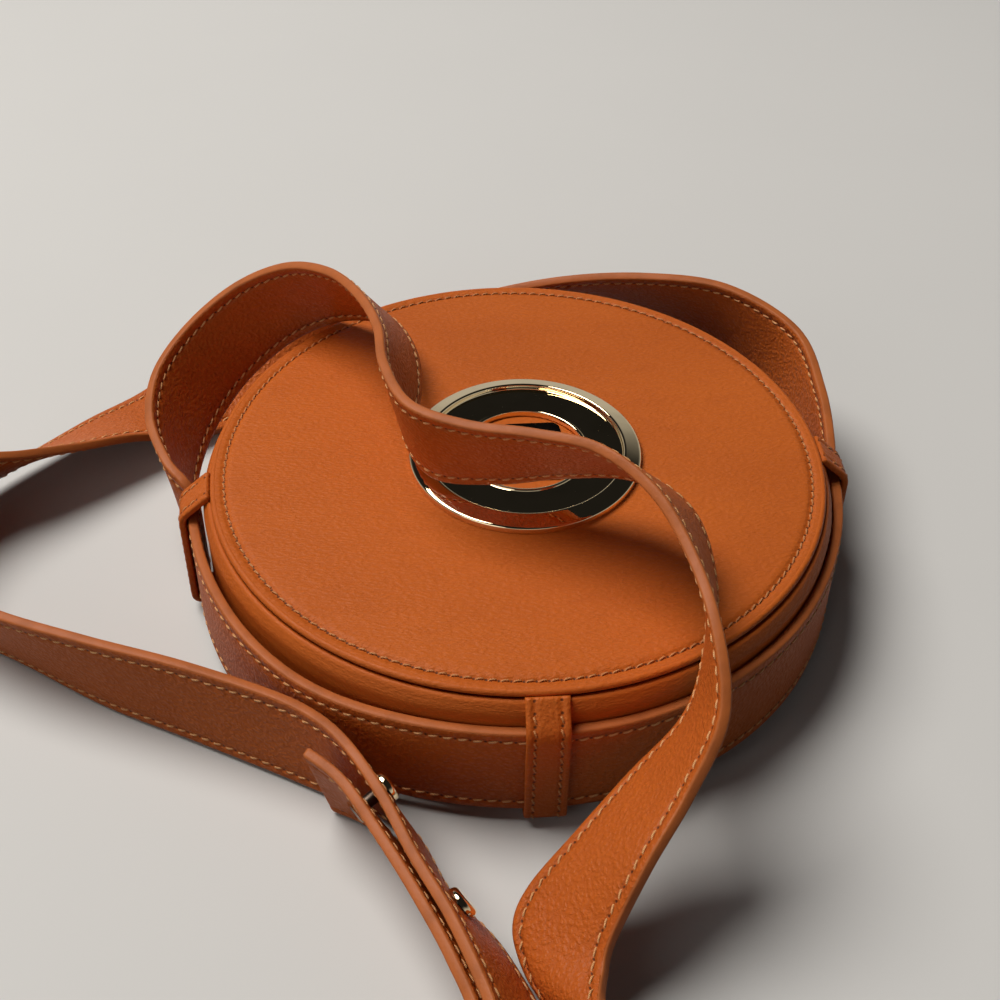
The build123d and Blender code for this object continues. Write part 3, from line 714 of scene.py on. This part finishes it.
SEWN = ZIP_END + 1, 179 - ZIP_END
sew("zip_thread_front", *arc_of_stitches(ABOVE_ZIP + ZIP_ROW, SEWN), slant=6)
sew("zip_thread_back", *arc_of_stitches(BELOW_ZIP - ZIP_ROW, SEWN), slant=6)

# %% [markdown]
# The belt's route
#
# The belt is one strap 34 mm wide and 1.7 m long. Its route is a list of stations, each a point
# on one edge and the point across from it. The same list shapes the CAD belt, and here a smoother
# curve through it gives the leather its bends and twists.

# %% Stations
OVER_FACE = [
    ((-109, 8, 8), (-109, 6, 42)), ((-111, 19, 11), (-115, 14, 44)), ((-110, 40, 15), (-122, 34, 46)),
    ((-104, 59, 21), (-121, 55, 50)), ((-92, 74, 30), (-110, 69, 59)), ((-75, 81, 42), (-93, 75, 70)),
    ((-57, 78, 52), (-75, 71, 80)), ((-40, 65, 59), (-60, 58, 86)), ((-32, 46, 60), (-50, 40, 89)),
    ((-31, 25, 58), (-44, 21, 90)), ((-35, 4, 57), (-42, 1, 90)), ((-27, -15, 57), (-35, -19, 90)),
    ((-8, -22, 60), (-19, -31, 91)), ((12, -26, 65), (0, -40, 94)), ((32, -34, 70), (17, -50, 96)),
    ((46, -49, 69), (30, -66, 94)), ((50, -68, 61), (38, -84, 88)), ((46, -89, 54), (42, -107, 82)),
    ((38, -105, 44), (42, -126, 70)), ((22, -115, 32), (33, -138, 54)), ((7, -127, 24), (21, -151, 42)),
    ((-7, -136, 13), (12, -161, 26)), ((-12, -145, 8), (9, -168, 21)), ((-10, -156, 5), (7, -179, 23)),
    ((-2, -171, 3), (10, -192, 28)), ((7, -188, 2), (14, -202, 32)), ((11, -207, 1), (13, -211, 35)),
    ((2, -221, 1), (0, -220, 35)), ((-14, -222, 1), (-17, -219, 34)), ((-21, -207, 1), (-28, -206, 34)),
]
ROUND_BACK = [
    ((106, 13, 7), (107, 11, 41)), ((107, 43, 10), (110, 39, 44)), ((103, 73, 14), (107, 69, 48)),
    ((88, 99, 19), (85, 91, 52)), ((63, 116, 21), (56, 101, 51)), ((33, 125, 20), (26, 106, 47)),
    ((3, 129, 14), (-4, 108, 40)), ((-26, 127, 8), (-33, 105, 33)), ((-53, 116, 2), (-62, 115, 34)),
    ((-78, 95, 2), (-92, 117, 24)), ((-103, 78, 3), (-120, 106, 13)), ((-118, 67, 9), (-138, 95, 7)),
    ((-134, 58, 17), (-154, 82, 6)), ((-150, 47, 23), (-170, 68, 5)), ((-167, 37, 29), (-185, 53, 5)),
    ((-184, 28, 35), (-196, 36, 4)), ((-196, 12, 36), (-201, 16, 3)), ((-197, -8, 34), (-196, -4, 1)),
    ((-188, -26, 33), (-182, -19, 1)), ((-163, -43, 34), (-157, -36, 1)), ((-134, -56, 34), (-132, -53, 1)),
    ((-105, -68, 35), (-105, -68, 1)), ((-78, -81, 35), (-78, -83, 1)), ((-65, -90, 35), (-64, -91, 1)),
    ((-56, -101, 35), (-51, -98, 2)), ((-47, -118, 35), (-38, -112, 3)), ((-39, -137, 34), (-29, -132, 3)),
    ((-30, -156, 33), (-17, -148, 3)), ((-23, -175, 32), (-8, -167, 3)), ((-20, -185, 31), (-4, -176, 3)),
]
ROUND_GUSSET = [
    (-181, 2.2), (-176, 2.0), (-171, 1.8), (-163, 1.5), (-154, 1.6), (-145, 2.1), (-136, 2.6), (-128, 2.6),
    (-120, 1.8), (-111, 0.7), (-102, 0.1), (-93, 0.0), (-87, 0.0), (-76, 0.0), (-64, 0.0), (-52, 0.0),
    (-40, 0.0), (-28, 0.0), (-16, 0.6), (-6, 1.6), (0, 1.8), (5, 2.0),
]
LAP_STATIONS = [
    (100, 10.4, 4.6), (84, 7.2, 4.4), (62, 5.6, 4.4), (42, 4.6, 4.4), (21, 4.6, 4.6), (2, 5.4, 5.4),
]
LAP_GAPS = 7
STRAP_CLEAR = 0.4
BAND_R = WALL_R + STRAP_CLEAR + STRAP_T / 2
BAND_LOW, BAND_HIGH = 5.0, 39.0
CAD_STEPS, FINE_STEPS = 4, 12
print("stations:", len(OVER_FACE) + len(ROUND_GUSSET) + len(ROUND_BACK) + len(LAP_STATIONS))

# %% From stations to a smooth strip


def across(low, high):
    """Edge points brought to the belt's real width and lifted off the floor, as arrays of rows."""
    middle, reach_across = (low + high) / 2, high - low
    half = reach_across / np.linalg.norm(reach_across, axis=1, keepdims=True) * STRAP_W / 2
    lean = STRAP_T / STRAP_W * np.hypot(half[:, 0], half[:, 1])
    lift = np.maximum(0, np.abs(half[:, 2]) + lean - middle[:, 2])
    middle = middle + lift[:, None] * [0, 0, 1]
    return middle - half, middle + half


def smooth(low, high, steps):
    """A Catmull-Rom curve through the stations, with so many steps in each gap."""
    curves = []
    for edge in (low, high):
        p = np.vstack([edge[:1], edge, edge[-1:]])
        a, b, c, d = (p[k:k + len(edge) - 1, None, :] for k in range(4))
        t = (np.arange(steps) / steps)[None, :, None]
        bend = (2 * a - 5 * b + 4 * c - d) * t**2 + (3 * b - a - 3 * c + d) * t**3
        curves.append(((2 * b + (c - a) * t + bend) / 2).reshape(-1, 3))
    low_curve, high_curve = across(*curves)
    return np.vstack([low_curve, low[-1:]]), np.vstack([high_curve, high[-1:]])


def strip_frames(low, high):
    """Middles, directions across, normals and distances along a strip."""
    middle = (low + high) / 2
    ends = np.vstack([middle[:1], middle, middle[-1:]])
    along = ends[2:] - ends[:-2]
    along /= np.linalg.norm(along, axis=1, keepdims=True)
    cross = (high - low) / np.linalg.norm(high - low, axis=1, keepdims=True)
    normal = np.cross(along, cross)
    normal /= np.linalg.norm(normal, axis=1, keepdims=True)
    run = np.concatenate([[0], np.cumsum(np.linalg.norm(np.diff(middle, axis=0), axis=1))])
    return middle, cross, normal, run


def at(strip, distances):
    """Middle, direction across, normal and direction along at distances along a strip."""
    *vectors, run = strip
    middle, cross, normal = (
        np.stack([np.interp(distances, run, v[:, k]) for k in range(3)], 1) for v in vectors)
    cross, normal = (v / np.linalg.norm(v, axis=1, keepdims=True) for v in (cross, normal))
    return middle, cross, normal, np.cross(cross, normal)


def edges_of(stations):
    """Both edges through a list of stations."""
    points = np.array(stations, float)
    return across(points[:, 0], points[:, 1])


def gusset_edges():
    """Both edges round the wall, from an angle and a distance off it for each station."""
    a, off = np.array(ROUND_GUSSET, float).T
    x, y = (BAND_R + off) * np.cos(np.radians(a)), (BAND_R + off) * np.sin(np.radians(a))
    return tuple(np.stack([x, y, np.full_like(x, z)], 1) for z in (BAND_LOW, BAND_HIGH))


def lap_edges(outer):
    """The inner layer of the lap joint, beside the outer one."""
    from_tip, top, foot = np.array(LAP_STATIONS, float).T
    middle, cross, normal, _ = at(outer, outer[3][-1] - from_tip)
    side = normal * np.where(normal[:, :1] < 0, 1, -1)
    half = cross * np.where(cross[:, 2:] > 0, 1, -1) * STRAP_W / 2
    return across(middle - half + side * foot[:, None], middle + half + side * top[:, None])


back_low, back_high = edges_of(ROUND_BACK)
outer_layer = strip_frames(*smooth(back_low[-LAP_GAPS - 1:], back_high[-LAP_GAPS - 1:], CAD_STEPS))
face_low, face_high = edges_of(OVER_FACE[::-1])
runs = [lap_edges(outer_layer), (face_low, face_high), gusset_edges(), (back_low, back_high)]
belt_low, belt_high = (np.vstack([r[k] for r in runs]) for k in range(2))
belt = strip_frames(*smooth(belt_low, belt_high, FINE_STEPS))
print(f"belt: {belt[3][-1]:.0f} mm long, {len(belt[0])} sections")

# %% [markdown]
# The belt's leather
#
# Its section isn't a plain rectangle. Both faces dip along the stitched rows and swell between
# them, because two layers are sewn over a thin core, and the edges are rounded off, burnished and
# painted a lighter tan. Each section is laid at right angles to the route.

# %% Belt section and leather


def strap_section(width, thick, row, dip=0.24):
    """(across, through) points round a strap's section."""
    w, t = width / 2, thick / 2
    # stations across half of a face, with how far each lies below the full thickness
    half = [(w - 0.4, 0.08), (w - 1.2, 0.0), (row + 0.8, 0.02), (row + 0.35, dip * 0.7), (row, dip),
            (row - 0.35, dip * 0.7), (row - 0.9, 0.03), (row * 0.6, 0.0), (row * 0.25, 0.0)]
    face = [(c, t - d) for c, d in half] + [(-c, t - d) for c, d in half[::-1]]
    edge = [(-w + 0.12, t - 0.32), (-w, t - 0.7), (-w, 0.7 - t), (-w + 0.12, 0.32 - t)]
    other = [(-c, -h) for c, h in face]
    far = [(-c, -h) for c, h in edge]
    return np.array(face + edge + other + far)


def strap(name, strip, section):
    """A strap's mesh along a strip, with its lay stored for the material."""
    middle, cross, normal, run = strip
    c, h = section.T
    pinch = np.ones(len(run))
    pinch[[0, -1]] = 0.8
    grid = (middle[:, None, :] + cross[:, None, :] * c[None, :, None]
            + normal[:, None, :] * (h[None, :] * pinch[:, None])[..., None])
    lay = np.stack([np.broadcast_to(v, grid.shape[:2]) for v in (run[:, None], c, h)], -1)
    return from_grid(name, grid, lay=lay)


BELT_NODES = ["belt_lap_inner", "belt_front_turn", "belt_over_face", "belt_round_gusset", "belt_behind",
              "belt_left_turn", "belt_lap_outer"]
dress(strap("belt", belt, strap_section(STRAP_W, STRAP_T, STRAP_ROW)), belt_leather,
      stands_for=BELT_NODES)

# %% Stitches along the belt
END_MARGIN = 5.0         # no stitch nearer to the belt's ends
STRAP_ROW_SINK = 0.26    # thread's middle below a strap's full thickness


def strap_thread(name, strip, row, pitch, thick, slot, length=STITCH_L, slant=12.0,
                 margin=END_MARGIN):
    """Both rows on both faces of a strap, between the needle holes."""
    first, last = math.ceil(margin / pitch), math.floor((strip[3][-1] - margin) / pitch)
    places = (np.arange(first, last) + 0.5) * pitch
    middle, cross, normal, along = at(strip, places)
    surface = thick / 2 - STRAP_ROW_SINK
    middles = [middle + cross * row * c + normal * surface * n for n in (1, -1) for c in (1, -1)]
    ups = [normal * n for n in (1, -1) for c in (1, -1)]
    return sew(name, np.vstack(middles), np.vstack([along] * 4), np.vstack(ups), slot=slot,
               length=length, slant=slant)


strap_thread("belt_thread", belt, STRAP_ROW, PITCH, STRAP_T, "belt_leather")

# %% [markdown]
# Keeper loops
#
# Three loops hold the belt to the wall: left, right and at the bottom. Each is a narrow strap. It
# leaves the front seam on a slant, turns down over the belt's edge, runs down its face and turns
# under it to the wall. The route has four points, and each corner is rounded by a smooth curve.

# %% Loops
LOOP_T = 2.2
LOOP_ANGLES = {"left": -176.8, "right": 0.4, "bottom": -90.0}
LOOP_BEND = 2.6


def rounded_route(points, bend, steps=8):
    """A route in (radius, height) with each corner turned on a curve of about that radius."""
    points = np.array(points, float)
    out = [points[0]]
    for before, corner, after in zip(points, points[1:], points[2:]):
        into, away = before - corner, after - corner
        cut = min(bend, np.linalg.norm(into) * 0.49, np.linalg.norm(away) * 0.49)
        a = corner + into / np.linalg.norm(into) * cut
        b = corner + away / np.linalg.norm(away) * cut
        t = np.linspace(0, 1, steps)[:, None]
        out += list(a * (1 - t) ** 2 + 2 * corner * t * (1 - t) + b * t**2)
    out.append(points[-1])
    return np.array(out)


def even(route, step):
    """The route's points at an even spacing."""
    run = np.concatenate([[0], np.cumsum(np.linalg.norm(np.diff(route, axis=0), axis=1))])
    places = np.linspace(0, run[-1], max(2, round(run[-1] / step)))
    return np.stack([np.interp(places, run, route[:, k]) for k in range(2)], 1)


def loop_strip(degrees, node):
    """A loop's strip, from its box in the frame."""
    a = math.radians(degrees)
    out, side = np.array([math.cos(a), math.sin(a), 0]), np.array([-math.sin(a), math.cos(a), 0])
    corners = np.array([v.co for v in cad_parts[node].data.vertices]) / MM @ out
    low, high = (c.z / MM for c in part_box(node))
    inner, outer = corners.min(), corners.max() - LOOP_T / 2
    # under the belt, up its face, over its edge, and in on a slant to the front seam
    route = [(WALL_R + 0.3, low + LOOP_T / 2), (outer, low + LOOP_T / 2), (outer, BAND_HIGH + 1.2),
             (inner - 0.3, high - 0.5)]
    points = even(rounded_route(route, LOOP_BEND), 0.8)
    middle = points[:, :1] * out + points[:, 1:] * [0, 0, 1.0]
    half = side * LOOP_W / 2
    return strip_frames(middle - half, middle + half)


for where, degrees in LOOP_ANGLES.items():
    node = "keeper_loop_" + where
    strip = loop_strip(degrees, node)
    section = strap_section(LOOP_W, LOOP_T, LOOP_ROW, 0.2)
    dress(strap("loop_" + where, strip, section), loop_leather, stands_for=[node])
    strap_thread("loop_thread_" + where, strip, LOOP_ROW, LOOP_PITCH, LOOP_T, "leather",
                 length=2.9, slant=20.0, margin=1.0)

# %% [markdown]
# The ring
#
# A polished ring lies on the front panel round a small leather disc. From outside in it has a
# slope that catches the light, a step down, a flat mirror and a thin raised lip. Turning a profile
# is what a lathe does, and it gives the same clean shine. The flats have close sets of points at
# their ends, which keep the smooth shading from bending their reflections.

# %% Ring and inlay
RING_IN_R = INLAY_R + 0.2
RING_PROFILE = [(RING_R - inward, RING_LOW + up) for inward, up in (
    (0.3, 0.0), (0.0, 0.3), (0.0, 1.9), (0.12, 2.2), (0.4, 2.42), (0.8, 2.58), (1.0, 2.65), (4.7, 3.83),
    (4.95, 3.92), (5.2, 3.97), (5.5, 3.9), (5.7, 3.7), (5.85, 3.3), (5.95, 2.5), (6.1, 2.26), (6.35, 2.2),
    (6.5, 2.2), (6.7, 2.2))] + [(RING_IN_R + outward, RING_LOW + up) for outward, up in (
    (1.75, 2.2), (1.6, 2.2), (1.45, 2.2), (1.25, 2.28), (1.1, 2.6), (0.85, 2.8), (0.35, 2.8), (0.1, 2.65),
    (0.0, 2.4), (0.0, 0.0))]
SHARP = math.radians(38)


def ring():
    """The polished ring, smooth but for the edges that are sharper than SHARP."""
    made = from_grid("ring_polished", spin(RING_PROFILE, steps=256, middle=RING_AT), ring_rows=True)
    made.data.set_sharp_from_angle(angle=SHARP)
    return dress(made, gold, stands_for=["ring"])


ring()


def inlay():
    """Leather disc inside the ring, crowned and tucked down at its edge."""
    r = np.array([CENTRE_R, *np.linspace(3, INLAY_R - 2, 10), *np.linspace(INLAY_R - 1.6, INLAY_R, 7)])
    share = np.clip((r - INLAY_R + 2) / 2, 0, 1)
    z = INLAY_HIGH - 0.55 * share**2
    profile = [*zip(r, z), (INLAY_R, INLAY_LOW), (CENTRE_R, INLAY_LOW)]
    grid = spin(profile, steps=160, middle=RING_AT)
    made = from_grid("ring_inlay_leather", grid, ring_rows=True, ring_cols=False)
    close_centre(made, RING_AT)
    return dress(made, wall_leather, stands_for=["ring_inlay"])


inlay()

# %% [markdown]
# Metal and hidden parts that keep their CAD shape
#
# The plate in the ring, the studs, teeth, stops, slider and pull are rigid and already right. They
# need only a finish, and the larger ones a softened edge: the Weld modifier joins the points of
# neighbouring faces, and the Bevel modifier then rounds every corner, because a perfectly sharp
# metal edge never catches the light. Tapes, linings and boards get their cloth and fibre here.

# %% Finish the CAD nodes


def finish_node(name, material, bevel=0.0):
    """Gives a CAD node its material and, where bevel says how much, rounded edges."""
    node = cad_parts[name]
    if not node.data.materials:
        node.data.materials.append(material)
    for k in range(len(node.data.materials)):
        node.data.materials[k] = material
    if bevel:
        weld = node.modifiers.new("weld", "WELD")
        weld.merge_threshold = 0.002 * MM
        soft = node.modifiers.new("bevel", "BEVEL")
        soft.width, soft.segments, soft.limit_method, soft.angle_limit = bevel * MM, 2, "ANGLE", SHARP
        soft.harden_normals = True


for material, bevel, names in (
        (gold, 0.0, ("stud_caps", "stud_feet", "ring_rivets", "ring_washers", "zip_teeth_front",
                     "zip_teeth_back", "zip_stops", "pull_pin")),
        (gold, 0.2, ("zip_slider", "zip_pull")),
        # the stud posts' dark metal is painted shade
        (shaded_post_metal, 0.0, ("stud_posts",)),
        (dark_metal, 0.25, ("ring_bar",)),
        (wall_leather, 0.25, ("zip_end_tabs",)),
        (tape, 0.0, ("zip_tape_front", "zip_tape_back")),
        (lining, 0.0, ("back_lining", "front_lining", "gusset_lining", "slip_pocket")),
        (board, 0.0, ("back_board", "front_board", "gusset_board"))):
    for name in names:
        finish_node(name, material, bevel)
print("CAD nodes finished:", sum(not n.hide_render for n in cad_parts.values()))

# %% [markdown]
# Floor, lamps and camera
#
# The bag lies on a plain pale floor under soft lamps, so that its own colours read true. A large
# lamp hangs high, a little behind and to the left, and leaves the near wall in soft shade, and a
# weaker one fills from the left front. What light bounces off the floor and the backdrop is kept
# low, so the shade stays deep, while the camera and the metal see both as pale. Far from the bag
# the floor turns into the backdrop's colour, so no view shows a horizon. The camera looks down at
# the bag at forty-two degrees from a little left of its front.

# %% Floor
FLOOR_PALE, FLOOR_BOUNCE = (0.68, 0.67, 0.65), (0.09, 0.086, 0.08)
FLOOR_HALF, FLOOR_Z = 4000.0, -0.3
FADE_FROM, FADE_TO = 380.0, 1500.0       # how far from the bag the floor turns into the backdrop
SKY_LOW, SKY_HIGH, SKY_DIM = (0.46, 0.455, 0.44), (0.012, 0.012, 0.012), (0.2, 0.2, 0.2)
SKY_FROM, SKY_TO = 0.12, 0.6             # heights between which the backdrop darkens, the top being 1
BLACK = (0.0, 0.0, 0.0)


def seen_directly(recipe):
    """1 for what the camera sees, also in a mirror or through glass, and 0 for bounced light."""
    rays = recipe.node("ShaderNodeLightPath").socket.node.outputs
    camera, glossy, through = (
        Value(recipe, rays[n]) for n in ("Is Camera Ray", "Is Glossy Ray", "Is Transmission Ray"))
    clamped = {"operation": "ADD", "use_clamp": True}
    return recipe.node("ShaderNodeMath", clamped, {0: camera + glossy, 1: through})


def lay_floor():
    """A pale floor that turns into the backdrop's own colour far from the bag."""
    r = Recipe("floor", Roughness=0.8, Specular_IOR_Level=0.1, Emission_Strength=1.0)
    speck = r.noise(r.place(), 0.01, 3.0)
    pale = r.mix(FLOOR_PALE, tuple(c * 0.97 for c in FLOOR_PALE), speck)
    seen = seen_directly(r)
    x, y, _ = r.parts(r.place())
    away = r.node("ShaderNodeMath", {"operation": "SQRT"}, {0: x * x + y * y})
    far = r.ease(away, FADE_FROM, FADE_TO) * seen
    near = r.mix(FLOOR_BOUNCE, pale, seen)
    material = r.set(Base_Color=r.mix(near, BLACK, far), Emission_Color=r.mix(BLACK, SKY_LOW, far))
    corners = [(x * FLOOR_HALF, y * FLOOR_HALF, FLOOR_Z) for x, y in ((-1, -1), (1, -1), (1, 1), (-1, 1))]
    ground = mesh_object("floor", corners, [(0, 1, 2, 3)])
    ground.data.materials.append(material)


lay_floor()
print(f"floor: {2 * FLOOR_HALF * MM:.0f} m square")

# %% Lamps and world


def lamp(name, place, aim, size, watts, colour):
    """A round area lamp at a place in metres, turned to face another."""
    light = bpy.data.lights.new(name, "AREA")
    light.shape, light.size, light.energy, light.color = "DISK", size, watts, colour
    made = bpy.data.objects.new(name, light)
    bpy.context.scene.collection.objects.link(made)
    back = (np.array(place) - aim) / np.linalg.norm(np.array(place) - aim)
    side = np.cross([0, 0, 1], back)
    side = side / np.linalg.norm(side)
    turn = np.stack([side, np.cross(back, side), back], 1)
    made.matrix_world = Matrix.LocRotScale(place, Matrix(turn.tolist()), None)
    return made


lamp("key", (-1.0, 0.55, 2.25), aim=(0, 0, 0), size=1.6, watts=63.0, colour=(1.0, 0.97, 0.93))
lamp("fill", (-1.2, -1.3, 0.9), aim=(0, 0, 0.02), size=1.4, watts=5.0, colour=(1.0, 0.98, 0.96))


class Surround(Recipe):
    """The world's node tree, made with the same method as a material's."""

    def __init__(self, name):
        world = bpy.data.worlds.new(name)
        bpy.context.scene.world = world
        world.use_nodes = True
        self.tree = world.node_tree
        self.shader = self.tree.nodes["Background"]


def light_world():
    """Pale along the horizon and dark overhead, as a studio with a dark ceiling is."""
    w = Surround("studio")
    direction = w.node("ShaderNodeTexCoord", output="Generated")
    height = w.parts(direction)[2]
    low = w.mix(SKY_DIM, SKY_LOW, seen_directly(w))
    colour = w.mix(low, SKY_HIGH, w.ease(height, SKY_FROM, SKY_TO))
    w.tree.links.new(colour.socket, w.shader.inputs["Color"])


light_world()

# %% Camera
CAMERA_AT = (-36.6, -366.8, 365.4)
CAMERA_RIGHT, CAMERA_UP = (0.997, -0.073, 0.012), (0.041, 0.67, 0.741)
CAMERA_BACK = (-0.062, -0.739, 0.671)
LENS, SENSOR = 54.0, 36.0


def set_camera():
    lens = bpy.data.cameras.new("camera")
    lens.lens, lens.sensor_width = LENS, SENSOR
    camera = bpy.data.objects.new("camera", lens)
    bpy.context.scene.collection.objects.link(camera)
    turn = Matrix((CAMERA_RIGHT, CAMERA_UP, CAMERA_BACK)).transposed()
    camera.matrix_world = Matrix.LocRotScale([c * MM for c in CAMERA_AT], turn.to_quaternion(), None)
    bpy.context.scene.camera = camera
    bpy.context.scene.view_settings.view_transform = "Standard"


set_camera()
print("camera at", CAMERA_AT, "mm, with a", LENS, "mm lens")
